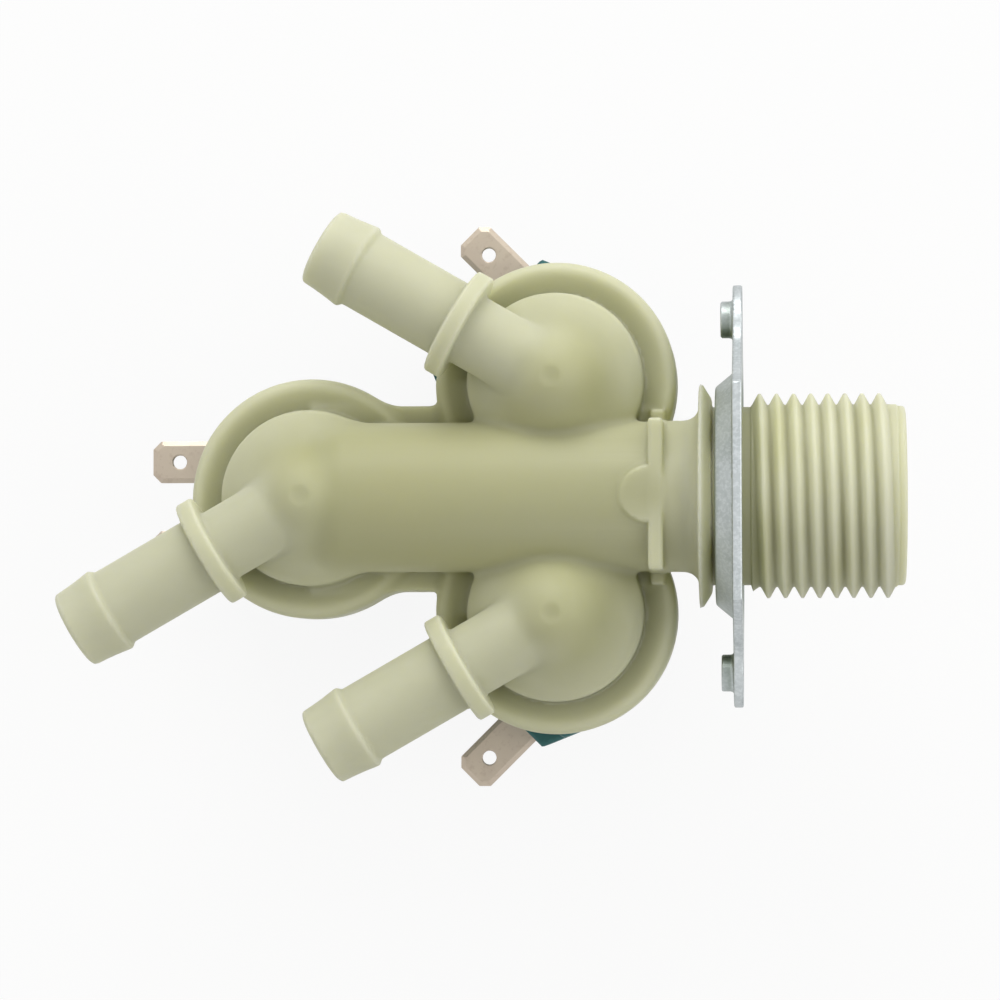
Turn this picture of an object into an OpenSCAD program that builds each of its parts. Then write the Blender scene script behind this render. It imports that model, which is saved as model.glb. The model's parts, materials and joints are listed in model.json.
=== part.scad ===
// Triple solenoid water inlet valve: one nylon moulding with a threaded inlet,
// three diaphragm chambers with hose outlets, three coils and a bracket plate.
// +X runs out of the inlet, +Z out of the domed side; the coils hang towards -Z.
// The origin lies on the inlet axis, in the outer face of the mounting plate.

/* [Inlet spigot] */
// Outside diameter of the hose thread
thread_d = 26.6; // [25:0.1:27.5]
// Depth of the thread
thread_depth = 1.4; // [0.8:0.1:1.6]
// Distance from crest to crest
thread_pitch = 2.21; // [1.8:0.01:2.4]
// Number of thread crests
thread_crests = 8; // [5:1:8]
// Distance from the plate to the first crest
thread_start = 2.2; // [1.6:0.1:3]
// Length of the spigot in front of the plate
spigot_len = 21; // [20:0.1:24]
// Diameter of the neck behind the thread
neck_d = 22.9; // [22:0.1:23.4]
// Bore of the spigot
inlet_bore_d = 17; // [15:0.1:17.6]
// Depth of the recess that seats the strainer
filter_seat_depth = 3; // [2:0.1:4]
// Length of the strainer cup
filter_len = 13; // [9:0.5:14]
// Thickness of the flow washer
flow_washer_h = 3.5; // [2.5:0.1:4.5]
// Orifice in the flow washer
flow_orifice_d = 4.6; // [3:0.1:6]

/* [Locating flange] */
// Diameter of the flange behind the plate
flange_d = 28.3; // [28:0.1:30]
// Thickness of the flange
flange_t = 1.35; // [1.2:0.05:1.8]
// Height of the four seat pads
pad_h = 0.5; // [0.3:0.05:0.8]

/* [Manifold] */
// Outside diameter of the manifold tube
manifold_d = 19.5; // [19:0.1:20.5]
// Bore of the manifold tube
manifold_bore_d = 14; // [12:0.1:14.4]
// Distance from the plate to the cross rib
rib_x = 12.1; // [11.5:0.1:12.4]
// Thickness of the cross rib
rib_t = 1.9; // [1.5:0.1:2.5]

/* [Chambers] */
// Distance from the plate to the end chamber
end_x = 56.8; // [54:0.1:60]
// Distance from the plate to the pair of side chambers
pair_x = 24.5; // [24:0.1:26]
// Distance of each side chamber from the inlet axis
pair_y = 15.2; // [15.2:0.05:16]
// Outside diameter of a chamber rim
rim_d = 31.6; // [31:0.1:32.4]
// Diameter of a chamber roof
roof_d = 23; // [22:0.1:24]
// Radius of the ball that the roof is cut from
roof_ball_r = 14; // [13:0.1:18]
// Height of the roof's top above the inlet axis
roof_top = 7; // [6:0.1:7.5]
// Wall thickness of the chamber
wall = 1.5; // [1.2:0.1:2]
// Bore of the valve seat
seat_bore_d = 8; // [7:0.1:8.4]
// Wall of the valve seat
seat_wall = 1.2; // [1:0.1:1.6]
// Depth of the seat below the inlet axis
seat_z = 8; // [7.8:0.1:8.4]
// Depth of the skirt below the inlet axis
skirt_z = 11.5; // [11:0.1:12]

/* [Outlets] */
// Height of the outlets above the inlet axis
outlet_z = 5; // [4.5:0.1:5.5]
// Radius of the fillet between the elbow dome and the roof
elbow_fillet = 6; // [3:0.5:8]
// Diameter of the elbow dome
elbow_d = 12; // [11.4:0.1:13]
// Outside diameter of the tube between elbow and collar
stem_d = 9.6; // [9:0.1:10.4]
// Outside diameter of the hose tail
tail_d = 10.4; // [10:0.1:11]
// Bore of the hose tail
tail_bore_d = 7.2; // [6:0.1:7.4]
// Distance from the chamber axis to the tip of the tail
tail_len = 35; // [33:0.1:38]
// Diameter of the barb ridge
barb_d = 11.7; // [11.2:0.1:12.4]
// Length of the barb, from ridge to tip
barb_len = 5.9; // [5:0.1:7]
// Diameter of the tip
tip_d = 9.8; // [9.4:0.1:10.2]
// Diameter of the collar
collar_d = 14.6; // [13.6:0.1:15.6]
// Thickness of the collar
collar_t = 2.3; // [1.8:0.1:3]
// Distance from the chamber axis to the collar
collar_x = 12.9; // [12.4:0.1:14]

/* [Mounting plate] */
// Length of the plate over both ears
plate_len = 55; // [54:0.1:58]
// Width of the plate across its middle
plate_w = 34; // [33.6:0.1:36]
// Sheet thickness
plate_t = 1.25; // [1:0.05:1.5]
// Width of an ear
ear_w = 12; // [10:0.1:13]
// Distance between the two screw holes
hole_pitch = 46; // [45:0.1:46.4]
// Diameter of a screw hole
screw_hole_d = 3.4; // [3:0.1:3.6]
// Outside diameter of a pressed screw bush
bush_d = 4.8; // [4.6:0.1:5.4]
// Height of a pressed screw bush
bush_h = 1.6; // [1:0.1:2]
// Width of the dish's flat bottom round the hole
dish_ring_w = 0.8; // [0.6:0.1:1.1]
// How far the dish's side flares out
dish_flare = 1.8; // [1.4:0.1:2]

/* [Coils] */
// Height of a coil jacket
coil_h = 22; // [20:0.1:24]
// Diameter of a coil jacket
coil_d = 25.6; // [25:0.1:26.4]
// Distance from the coil axis to the terminal face
terminal_face = 14.6; // [14:0.1:15.4]
// Width of the terminal face
terminal_face_w = 21.2; // [20:0.1:22]
// Diameter of the winding
winding_d = 16; // [14:0.1:16]
// Wall of the bobbin
bobbin_wall = 0.9; // [0.7:0.05:1.1]
// Width of the coil frame
yoke_w = 21.8; // [20:0.1:21.8]
// Thickness of the coil frame
yoke_t = 1.5; // [1.2:0.1:1.8]
// Distance from the coil axis to the back of the frame
yoke_back = 10.4; // [10.4:0.1:10.5]
// Distance from the coil axis to the front of the frame
yoke_front = 9.5; // [8:0.1:12]

/* [Terminals] */
// Width of a push-on tab
tab_w = 6.3; // [4.8:0.1:6.3]
// Thickness of a push-on tab
tab_t = 0.8; // [0.5:0.1:0.8]
// Distance from the coil axis to the tip of a tab
tab_reach = 25.3; // [24:0.1:27]
// Distance between the two tabs
tab_pitch = 12.4; // [9:0.1:13]
// Diameter of the hole in a tab
tab_hole_d = 1.9; // [1.4:0.1:2.2]
// Depth of the tabs below the inlet axis
tab_z = 30; // [27:0.1:32]

/* [Moving parts] */
// Thickness of the bonnet's flange
bonnet_flange_t = 2.6; // [2.4:0.1:3]
// Outside diameter of the guide tube
guide_d = 9.6; // [9.2:0.1:9.8]
// Wall of the guide tube
guide_wall = 0.9; // [0.7:0.05:1]
// Length of a plunger
plunger_len = 18; // [15:0.1:20]
// Travel of a plunger
plunger_travel = 3; // [2:0.1:3.2]
// Diameter of the plunger's rubber tip
plunger_tip_d = 4.2; // [3.4:0.1:4.6]
// Outside diameter of the plunger spring
spring_d = 5.6; // [5:0.1:5.8]
// Wire thickness of the plunger spring
wire_d = 0.5; // [0.3:0.05:0.6]
// Number of turns in the plunger spring
spring_turns = 7; // [5:1:9]
// Thickness of the diaphragm's membrane
membrane_t = 1.2; // [1:0.1:1.4]
// Diameter of the diaphragm insert
insert_d = 13; // [12:0.1:14]
// Diameter of the pilot hole
pilot_d = 1.4; // [1:0.1:1.8]

/* [Hidden] */

$fn = 64;

// Colours as the object shows them
nylon = [0.76, 0.77, 0.66];
zinc = [0.74, 0.77, 0.79];
teal = [0.16, 0.42, 0.41];
tinned = [0.76, 0.71, 0.65];
cream = [0.87, 0.85, 0.78];

// Place of each chamber: plan position, outlet direction, terminal direction
END = 0;
RIGHT = 1;
LEFT = 2;
chamber_at = [[-end_x, 0], [-pair_x, pair_y], [-pair_x, -pair_y]];
outlet_turn = [210, 150, 210];
coil_turn = [180, 135, 225];

// Clearances
slide_gap = 0.15;
fit_gap = 0.05;
rim_gap = 0.1;
overlap = 0.02;

// Spigot and flange
crest_r = thread_d / 2;
root_r = crest_r - thread_depth;
neck_r = neck_d / 2;
plain_r = root_r - 0.25;
crest_half = thread_pitch * 0.08;
pass_gap = 0.2;
plate_hole_r = crest_r + pass_gap;
dish_depth = 2.55;
dish_bottom_x = -plate_t - dish_depth;
flange_face_x = dish_bottom_x - pad_h;
flange_back_x = flange_face_x - flange_t;
flange_edge = 0.75;
pad_r = plate_hole_r + 0.4;
filter_recess_r = inlet_bore_d / 2 + 1;
washer_seat_x = -8;

// Manifold and base
manifold_r = manifold_d / 2;
manifold_end = end_x - 0.2;
manifold_round = 5;
rim_r = rim_d / 2;
rim_round = 1.6;
rim_top = -2;
valley_z = -4;
ledge_z = -3.4;
ledge_half = 12.2;
pair_edge_x = pair_x + rim_r - 0.6;
rib_foot_half = manifold_r + 1.75;
rib_top = manifold_r + 0.35;
gate_pad_r = 3.7;

// Chambers
roof_r = roof_d / 2;
roof_centre_z = roof_top - roof_ball_r;
cavity_r = roof_r - wall;
cavity_ball_r = roof_ball_r - wall;
elbow_r = elbow_d / 2;
elbow_up = outlet_z - roof_centre_z;
roof_touch = roof_ball_r + elbow_fillet;
elbow_touch = elbow_r + elbow_fillet;
fillet_up = (elbow_up + (roof_touch * roof_touch - elbow_touch * elbow_touch) / elbow_up) / 2;
fillet_z = roof_centre_z + fillet_up;
fillet_r = sqrt(roof_touch * roof_touch - fillet_up * fillet_up);
seat_r = seat_bore_d / 2 + seat_wall;
bead_ledge_z = -seat_z - 0.2;
bead_pocket_r = pair_y - 1.6;
bead_r = bead_pocket_r - fit_gap;
bead_w = 1.7;
bead_h = 2.6;
bead_bottom_z = bead_ledge_z - bead_h;

// Diaphragm and insert
membrane_z = -seat_z - membrane_t;
insert_neck_r = 2.6;
insert_head_r = 3.3;
insert_head_h = 0.8;
insert_disc_h = 1.4;
insert_z = membrane_z - insert_disc_h;
insert_travel = 0.6 * plunger_travel;
bleed_d = 0.8;

// Bonnet
chamber_floor_z = insert_z - insert_travel - 0.5;
control_r = bead_r - bead_w;
bonnet_z = -skirt_z - bonnet_flange_t;
bonnet_r = pair_y - 0.2;
guide_r = guide_d / 2;
guide_bore_r = guide_r - guide_wall;

// Coil stack
coil_top = bonnet_z - yoke_t;
coil_bottom = coil_top - coil_h;
yoke_bottom = coil_bottom - yoke_t;
bobbin_bore_r = guide_r + rim_gap;
bobbin_r = bobbin_bore_r + bobbin_wall;
bobbin_flange_r = winding_d / 2 + 0.15;
bobbin_flange_t = 1.2;
guide_end_z = yoke_bottom + 0.4;
spring_seat_z = guide_end_z + 1.2;

// Plunger
plunger_r = guide_bore_r - slide_gap;
tip_show = 0.5;
tip_h = 3.2;
plunger_top = insert_z - tip_show;
plunger_bottom = plunger_top - plunger_len;
spring_bore_r = spring_d / 2 + 0.25;
spring_bore_h = 5;
spring_top = plunger_bottom + spring_bore_h;

// Points along an arc
function arc(cx, cy, r, from, to, steps) =
    [for (i = [0:steps]) let (a = from + (to - from) * i / steps) [cx + r * cos(a), cy + r * sin(a)]];

module at_chamber(i) {
    translate([chamber_at[i][0], chamber_at[i][1], 0]) children();
}

// Turned so that the local +X is the outlet's direction
module at_outlet(i) {
    at_chamber(i) translate([0, 0, outlet_z]) rotate([0, 0, outlet_turn[i]]) children();
}

// Turned so that the local +X is the terminals' direction
module at_coil(i) {
    at_chamber(i) rotate([0, 0, coil_turn[i]]) children();
}

// A round bar along +X between two stations
module bar_x(r, from, to) {
    translate([from, 0, 0]) rotate([0, 90, 0]) cylinder(r = r, h = to - from);
}

// A body of revolution about X, drawn as [radius, x]
module turned_x(profile) {
    rotate([0, 90, 0]) rotate_extrude() polygon(profile);
}

// A ring between two heights
module ring_z(r_out, r_in, from, to) {
    rotate_extrude() polygon([[r_in, from], [r_out, from], [r_out, to], [r_in, to]]);
}

function crest(i) = let (x = thread_start + i * thread_pitch) [
    [root_r, x - thread_pitch / 2 + crest_half],
    [crest_r, x - crest_half],
    [crest_r, x + crest_half],
    [root_r, x + thread_pitch / 2 - crest_half]
];

module spigot_outside() {
    thread_end = thread_start + (thread_crests - 0.5) * thread_pitch;
    thread_points = [for (i = [0:thread_crests - 1]) each crest(i)];
    turned_x(concat(
        [[0, -rib_x], [manifold_r, -rib_x], [manifold_r, flange_back_x],
         [flange_d / 2, flange_back_x], [flange_d / 2, flange_face_x - flange_edge * 0.8],
         [flange_d / 2 - flange_edge, flange_face_x], [neck_r, flange_face_x],
         [neck_r, thread_start - thread_pitch / 2 - 0.3],
         [root_r, thread_start - thread_pitch / 2]],
        thread_points,
        [[root_r, thread_end + 0.2], [plain_r, thread_end + 0.5],
         [plain_r, spigot_len - 0.5], [plain_r - 0.5, spigot_len], [0, spigot_len]]));
    seat_pads();
    snap_lugs();
}

// A cross of two bars that keeps the four diagonal sectors of a ring
module diagonal_sectors(from, to) {
    reach = pad_r + 1;
    sector_w = 9;
    for (a = [45, 135])
        rotate([a, 0, 0])
            translate([from, -reach, -sector_w / 2])
                cube([to - from, 2 * reach, sector_w]);
}

// Pads on the flange that the dished plate seats on
module seat_pads() {
    intersection() {
        turned_x([[neck_r - 1, flange_face_x - 0.3], [pad_r, flange_face_x - 0.3],
                  [pad_r, dish_bottom_x], [neck_r - 1, dish_bottom_x]]);
        diagonal_sectors(flange_face_x - 0.3, dish_bottom_x);
    }
}

// Wedges that the plate's hole snaps over
module snap_lugs() {
    lug_x = dish_bottom_x + plate_t + fit_gap;
    lug_r = plate_hole_r + 0.35;
    intersection() {
        turned_x([[neck_r - 1, lug_x], [lug_r, lug_x], [neck_r, lug_x + 1.6], [neck_r - 1, lug_x + 1.6]]);
        diagonal_sectors(lug_x, lug_x + 1.6);
    }
}

module manifold_outside() {
    turned_x(concat(
        [[0, -manifold_end]],
        arc(manifold_r - manifold_round, -manifold_end + manifold_round, manifold_round, -90, 0, 6),
        [[manifold_r, -rib_x + overlap], [0, -rib_x + overlap]]));
}

module cross_rib() {
    translate([-rib_x, 0, 0]) {
        translate([0, -manifold_r + 0.05, -skirt_z]) cube([rib_t, 2 * manifold_r - 0.1, skirt_z + rib_top]);
        translate([0, -rib_foot_half, -skirt_z]) cube([rib_t, 2 * rib_foot_half, skirt_z - 1.2]);
    }
    intersection() {
        translate([-rib_x, 0, 0]) cylinder(r = gate_pad_r, h = rib_top - 0.05);
        translate([-rib_x - gate_pad_r, -gate_pad_r, 0])
            cube([gate_pad_r + overlap, 2 * gate_pad_r, rib_top]);
    }
}

// The low web that joins the three chamber rims
module base_web() {
    translate([-pair_edge_x, -pair_y, -skirt_z])
        cube([pair_edge_x - pair_x, 2 * pair_y, skirt_z + ledge_z]);
    translate([-end_x, -ledge_half, -skirt_z])
        cube([end_x - pair_edge_x + overlap, 2 * ledge_half, skirt_z + ledge_z]);
    translate([-pair_x, -rib_foot_half, -skirt_z])
        cube([pair_x - rib_x + overlap, 2 * rib_foot_half, skirt_z + ledge_z]);
}

// Half profile of the roof, its fillet and the elbow dome
function roof_profile() =
    let (edge = acos(roof_r / roof_ball_r),
         low = atan2(fillet_up, fillet_r),
         high = atan2(fillet_z - outlet_z, fillet_r),
         step = (high - low) / 4)
    concat(
        [[0, -skirt_z + 1], [roof_r, -skirt_z + 1]],
        arc(0, roof_centre_z, roof_ball_r, edge, low, 3),
        arc(fillet_r, fillet_z, elbow_fillet, 180 + low + step, 180 + high - step, 2),
        arc(0, outlet_z, elbow_r, high, 90, 4));

// Rim, skirt and domed roof of one chamber
module chamber_outside() {
    rotate_extrude() polygon(concat(
        [[0, -skirt_z], [rim_r, -skirt_z]],
        arc(rim_r - rim_round, rim_top - rim_round, rim_round, 0, 90, 6),
        [[roof_r + 0.6, valley_z], [0, valley_z]]));
    rotate_extrude() polygon(roof_profile());
}

module outlet_outside() {
    ridge_x = tail_len - barb_len;
    turned_x([
        [0, 0], [stem_d / 2, 0], [stem_d / 2, collar_x], [collar_d / 2, collar_x],
        [collar_d / 2, collar_x + collar_t], [tail_d / 2, collar_x + collar_t],
        [tail_d / 2, ridge_x - 0.5], [barb_d / 2, ridge_x], [barb_d / 2, ridge_x + 0.7],
        [tip_d / 2, tail_len - 0.4], [tip_d / 2 - 0.4, tail_len], [0, tail_len]]);
}

// Upright stem between the seat and the elbow
module elbow_stem() {
    translate([0, 0, -seat_z + 1]) cylinder(r = elbow_r - 0.1, h = seat_z - 1 + outlet_z);
}

// The hollow of one chamber above the diaphragm
module chamber_cavity() {
    intersection() {
        translate([0, 0, -skirt_z - 1]) cylinder(r = cavity_r, h = skirt_z + roof_top + 1);
        translate([0, 0, roof_centre_z]) sphere(r = cavity_ball_r);
    }
}

module seat_tube() {
    translate([0, 0, -seat_z]) rotate_extrude() polygon([
        [0, 0], [seat_r - 0.5, 0], [seat_r, 0.5], [seat_r, seat_z + outlet_z], [0, seat_z + outlet_z]]);
}

module waterways() {
    difference() {
        union() {
            bar_x(manifold_bore_d / 2, -end_x + seat_r + 1, 0);
            bar_x(inlet_bore_d / 2, washer_seat_x, spigot_len + 1);
            for (i = [END, RIGHT, LEFT]) at_chamber(i) chamber_cavity();
        }
        for (i = [END, RIGHT, LEFT]) at_chamber(i) seat_tube();
    }
    bar_x(filter_recess_r, spigot_len - filter_seat_depth, spigot_len + 1);
    for (i = [END, RIGHT, LEFT]) {
        at_chamber(i) translate([0, 0, -skirt_z - 1]) cylinder(d = seat_bore_d, h = skirt_z + 1 + outlet_z);
        at_outlet(i) bar_x(tail_bore_d / 2, 0, tail_len + 1);
        at_chamber(i) translate([0, 0, -skirt_z - 1])
            cylinder(r = bead_pocket_r, h = skirt_z + 1 + bead_ledge_z);
    }
}

module valve_body() {
    color(nylon) difference() {
        union() {
            spigot_outside();
            manifold_outside();
            cross_rib();
            base_web();
            for (i = [END, RIGHT, LEFT]) {
                at_chamber(i) chamber_outside();
                at_chamber(i) elbow_stem();
                at_outlet(i) outlet_outside();
            }
        }
        waterways();
    }
}

// Outline of the plate's sheet in the Y-Z plane, one quarter mirrored round
module plate_outline() {
    ear_r = ear_w / 2;
    ear_y = plate_len / 2 - ear_r;
    flat_half = 13.8;
    shoulder_y = ear_y - 1;
    polygon([
        [-flat_half, -plate_w / 2], [flat_half, -plate_w / 2], [shoulder_y, -ear_r],
        [shoulder_y, ear_r], [flat_half, plate_w / 2], [-flat_half, plate_w / 2],
        [-shoulder_y, ear_r], [-shoulder_y, -ear_r]]);
    for (s = [-1, 1]) {
        translate([s * ear_y, 0]) circle(r = ear_r);
        translate([s * (ear_y - 1) - 1, -ear_r]) square([2, ear_w]);
    }
}

module mounting_plate() {
    bottom_r = plate_hole_r + dish_ring_w;
    top_r = bottom_r + dish_flare;
    slope = norm([top_r - bottom_r, dish_depth]);
    step_r = plate_t * dish_depth / slope;
    step_x = plate_t * (top_r - bottom_r) / slope;
    lean = (top_r - bottom_r) / dish_depth;
    inner_low_r = bottom_r - step_r + lean * (plate_t - step_x);
    inner_top_r = inner_low_r + lean * dish_depth;
    color(zinc) difference() {
        union() {
            difference() {
                rotate([90, 0, 90]) translate([0, 0, -plate_t]) linear_extrude(plate_t) plate_outline();
                bar_x(top_r - 0.4, -plate_t - 1, 1);
            }
            turned_x([
                [plate_hole_r, dish_bottom_x], [bottom_r, dish_bottom_x], [top_r, -plate_t],
                [top_r, 0], [inner_top_r, 0], [inner_low_r, dish_bottom_x + plate_t],
                [plate_hole_r, dish_bottom_x + plate_t]]);
            for (s = [-1, 1])
                translate([0, s * hole_pitch / 2, 0]) bar_x(bush_d / 2, -plate_t - bush_h, -plate_t / 2);
        }
        for (s = [-1, 1])
            translate([0, s * hole_pitch / 2, 0]) bar_x(screw_hole_d / 2, -plate_t - bush_h - 1, 1);
    }
}

// Strainer cup with a flange, side windows and a slotted end
module inlet_filter() {
    cup_r = inlet_bore_d / 2 - 0.6;
    cup_wall = 0.9;
    seat_x = spigot_len - filter_seat_depth;
    end_in = seat_x - filter_len;
    window = 1.8;
    color(cream) difference() {
        turned_x([
            [0, end_in], [cup_r, end_in], [cup_r, seat_x], [filter_recess_r - rim_gap, seat_x],
            [filter_recess_r - rim_gap, seat_x + 1.1], [cup_r - cup_wall, seat_x + 1.1],
            [cup_r - cup_wall, end_in + 1], [0, end_in + 1]]);
        for (k = [0:5], x = [end_in + 2, end_in + 2 + 1.6 * window, end_in + 2 + 3.2 * window])
            rotate([30 * k, 0, 0])
                translate([x, -window / 2, -cup_r - 1]) cube([window, window, 2 * cup_r + 2]);
        for (k = [-2:2])
            translate([end_in - 1, k * window * 1.4 - window / 2, -cup_r * 0.6])
                cube([3, window * 0.8, cup_r * 1.2]);
    }
}

module flow_washer() {
    washer_r = inlet_bore_d / 2 - rim_gap;
    lip = 0.8;
    color([0.16, 0.16, 0.17]) turned_x([
        [flow_orifice_d / 2, washer_seat_x], [washer_r, washer_seat_x],
        [washer_r, washer_seat_x + flow_washer_h], [washer_r - lip, washer_seat_x + flow_washer_h],
        [flow_orifice_d / 2 + lip, washer_seat_x + flow_washer_h - lip],
        [flow_orifice_d / 2, washer_seat_x + flow_washer_h - 2 * lip]]);
}

// Plan of the moulded jacket: round body, flat back, tapered terminal block
module jacket_plan() {
    taper_x = terminal_face - 5.2;
    block_half = coil_d / 2;
    back = yoke_back - yoke_t - fit_gap;
    intersection() {
        union() {
            circle(d = coil_d);
            polygon([[0, -block_half], [taper_x, -block_half], [terminal_face, -terminal_face_w / 2],
                     [terminal_face, terminal_face_w / 2], [taper_x, block_half], [0, block_half]]);
        }
        translate([-back, -coil_d]) square([back + 2 * coil_d, 2 * coil_d]);
    }
}

module coil_jacket(i) {
    relief = 3.5;
    color(teal) at_coil(i) difference() {
        translate([0, 0, coil_bottom]) linear_extrude(coil_h) jacket_plan();
        translate([0, 0, coil_bottom - 1]) cylinder(r = bobbin_flange_r + fit_gap, h = coil_h + 2);
        translate([coil_d / 2 - 1.2, -coil_d, coil_top - relief]) cube([coil_d, 2 * coil_d, relief + 1]);
        for (s = [-1, 1])
            translate([terminal_face - 3, s * tab_pitch / 2 - tab_w / 2, -tab_z - tab_t / 2])
                cube([4, tab_w, tab_t]);
    }
}

module bobbin(i) {
    color(cream) at_coil(i) rotate_extrude() polygon([
        [bobbin_bore_r, coil_bottom], [bobbin_flange_r, coil_bottom],
        [bobbin_flange_r, coil_bottom + bobbin_flange_t], [bobbin_r, coil_bottom + bobbin_flange_t],
        [bobbin_r, coil_top - bobbin_flange_t], [bobbin_flange_r, coil_top - bobbin_flange_t],
        [bobbin_flange_r, coil_top], [bobbin_bore_r, coil_top]]);
}

module winding(i) {
    color([0.72, 0.42, 0.2]) at_coil(i)
        ring_z(winding_d / 2, bobbin_r, coil_bottom + bobbin_flange_t, coil_top - bobbin_flange_t);
}

// One flat tab, tip towards +X, with its corners cut
module tab_plan() {
    cut = 1.3;
    half = tab_w / 2;
    difference() {
        polygon([[terminal_face - 3, -half], [tab_reach - cut, -half], [tab_reach, -half + cut],
                 [tab_reach, half - cut], [tab_reach - cut, half], [terminal_face - 3, half]]);
        translate([tab_reach - 4, 0]) circle(d = tab_hole_d);
    }
}

module terminals(i) {
    color(tinned) at_coil(i)
        for (s = [-1, 1])
            translate([0, s * tab_pitch / 2, -tab_z - tab_t / 2]) linear_extrude(tab_t) tab_plan();
}

// Plan of one leg of the coil frame, its front corners rounded
module leg_plan() {
    corner = 4;
    half = yoke_w / 2;
    bend = 1.6;
    translate([-yoke_back + bend, -half]) square([yoke_back - bend + yoke_front - corner, yoke_w]);
    translate([-yoke_back + bend, -half + corner])
        square([yoke_back - bend + yoke_front, yoke_w - 2 * corner]);
    for (s = [-1, 1]) translate([yoke_front - corner, s * (half - corner)]) circle(r = corner);
}

// Side view of the bent strip at the back, with rounded bends
module back_profile() {
    bend = 1.6;
    top = bonnet_z;
    polygon(concat(
        [[-yoke_back + bend + overlap, yoke_bottom]],
        arc(-yoke_back + bend, yoke_bottom + bend, bend, 270, 180, 4),
        arc(-yoke_back + bend, top - bend, bend, 180, 90, 4),
        [[-yoke_back + bend + overlap, top], [-yoke_back + bend + overlap, coil_top],
         [-yoke_back + yoke_t, coil_top], [-yoke_back + yoke_t, coil_bottom],
         [-yoke_back + bend + overlap, coil_bottom]]));
}

module yoke(i) {
    color([0.66, 0.68, 0.69]) at_coil(i) difference() {
        union() {
            for (z = [yoke_bottom, coil_top])
                translate([0, 0, z]) linear_extrude(yoke_t) leg_plan();
            translate([0, yoke_w / 2, 0]) rotate([90, 0, 0]) linear_extrude(yoke_w) back_profile();
        }
        translate([0, 0, yoke_bottom - 1]) cylinder(r = bobbin_bore_r, h = bonnet_z - yoke_bottom + 2);
    }
}

// Flange and guide tube in one moulding, closed at the bottom
module bonnet(i) {
    edge = 0.5;
    spigot_r = bead_pocket_r - rim_gap;
    color(cream) at_coil(i) rotate_extrude() polygon([
        [guide_bore_r, chamber_floor_z], [control_r, chamber_floor_z], [control_r, bead_bottom_z],
        [spigot_r, bead_bottom_z], [spigot_r, -skirt_z], [bonnet_r, -skirt_z],
        [bonnet_r, bonnet_z + edge], [bonnet_r - edge, bonnet_z], [guide_r, bonnet_z],
        [guide_r, guide_end_z + edge], [guide_r - edge, guide_end_z], [0, guide_end_z],
        [0, spring_seat_z], [guide_bore_r, spring_seat_z]]);
}

module plunger(i) {
    groove = 0.9;
    color([0.7, 0.7, 0.69]) at_coil(i) difference() {
        translate([0, 0, plunger_bottom]) cylinder(r = plunger_r, h = plunger_len);
        translate([0, 0, plunger_top - tip_h]) cylinder(d = plunger_tip_d + 2 * fit_gap, h = tip_h + 1);
        translate([0, 0, plunger_bottom - 1]) cylinder(r = spring_bore_r, h = spring_bore_h + 1);
        for (s = [0, 180])
            rotate([0, 0, s]) translate([plunger_r - 0.4, -groove / 2, plunger_bottom - 1])
                cube([1, groove, plunger_len + 2]);
    }
}

module plunger_tip(i) {
    color([0.15, 0.15, 0.16]) at_coil(i)
        translate([0, 0, plunger_top - tip_h]) cylinder(d = plunger_tip_d, h = tip_h + tip_show);
}

// Helical wire, closed against its seats by half a turn at each end
module plunger_spring(i) {
    per_turn = 14;
    sides = 6;
    n = spring_turns * per_turn;
    mean_r = (spring_d - wire_d) / 2;
    z_low = spring_seat_z + wire_d / 2;
    z_high = spring_top - wire_d / 2;
    points = [for (k = [0:n], j = [0:sides - 1])
        let (a = 360 * k / per_turn, b = 360 * j / sides,
             r = mean_r + wire_d / 2 * cos(b),
             z = z_low + (z_high - z_low) * k / n + wire_d / 2 * sin(b))
        [r * cos(a), r * sin(a), z]];
    walls = [for (k = [0:n - 1], j = [0:sides - 1])
        let (p = k * sides + j, q = k * sides + (j + 1) % sides)
        [p, q, q + sides, p + sides]];
    first = [for (j = [sides - 1:-1:0]) j];
    last = [for (j = [0:sides - 1]) n * sides + j];
    color([0.75, 0.76, 0.77]) at_coil(i) polyhedron(points, concat([first], walls, [last]), convexity = 10);
}

// Rubber membrane with a clamped bead, its web sloping from seat to bead
module diaphragm(i) {
    flat_r = seat_r + 1;
    hole_r = insert_neck_r + rim_gap;
    web_z = bead_ledge_z - 0.3;
    color([0.2, 0.2, 0.21]) at_coil(i) rotate_extrude() polygon([
        [hole_r, membrane_z], [insert_d / 2, membrane_z],
        [bead_r - bead_w - 0.3, web_z - membrane_t], [bead_r - bead_w, bead_bottom_z],
        [bead_r, bead_bottom_z], [bead_r, bead_ledge_z], [bead_r - bead_w, bead_ledge_z],
        [bead_r - bead_w, web_z], [cavity_r - 0.3, web_z], [flat_r, -seat_z], [hole_r, -seat_z]]);
}

// Stiff core of the diaphragm, with a pilot hole and a bleed hole
module diaphragm_insert(i) {
    color([0.9, 0.9, 0.87]) at_coil(i) difference() {
        rotate_extrude() polygon([
            [0, insert_z], [insert_d / 2, insert_z], [insert_d / 2, membrane_z],
            [insert_neck_r, membrane_z], [insert_neck_r, -seat_z], [insert_head_r, -seat_z],
            [insert_head_r, -seat_z + insert_head_h * 0.4], [insert_neck_r, -seat_z + insert_head_h],
            [0, -seat_z + insert_head_h]]);
        translate([0, 0, insert_z - 1]) cylinder(d = pilot_d, h = 10);
        translate([insert_d / 2 - 1, 0, insert_z - 1]) cylinder(d = bleed_d, h = 4);
    }
}

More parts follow.
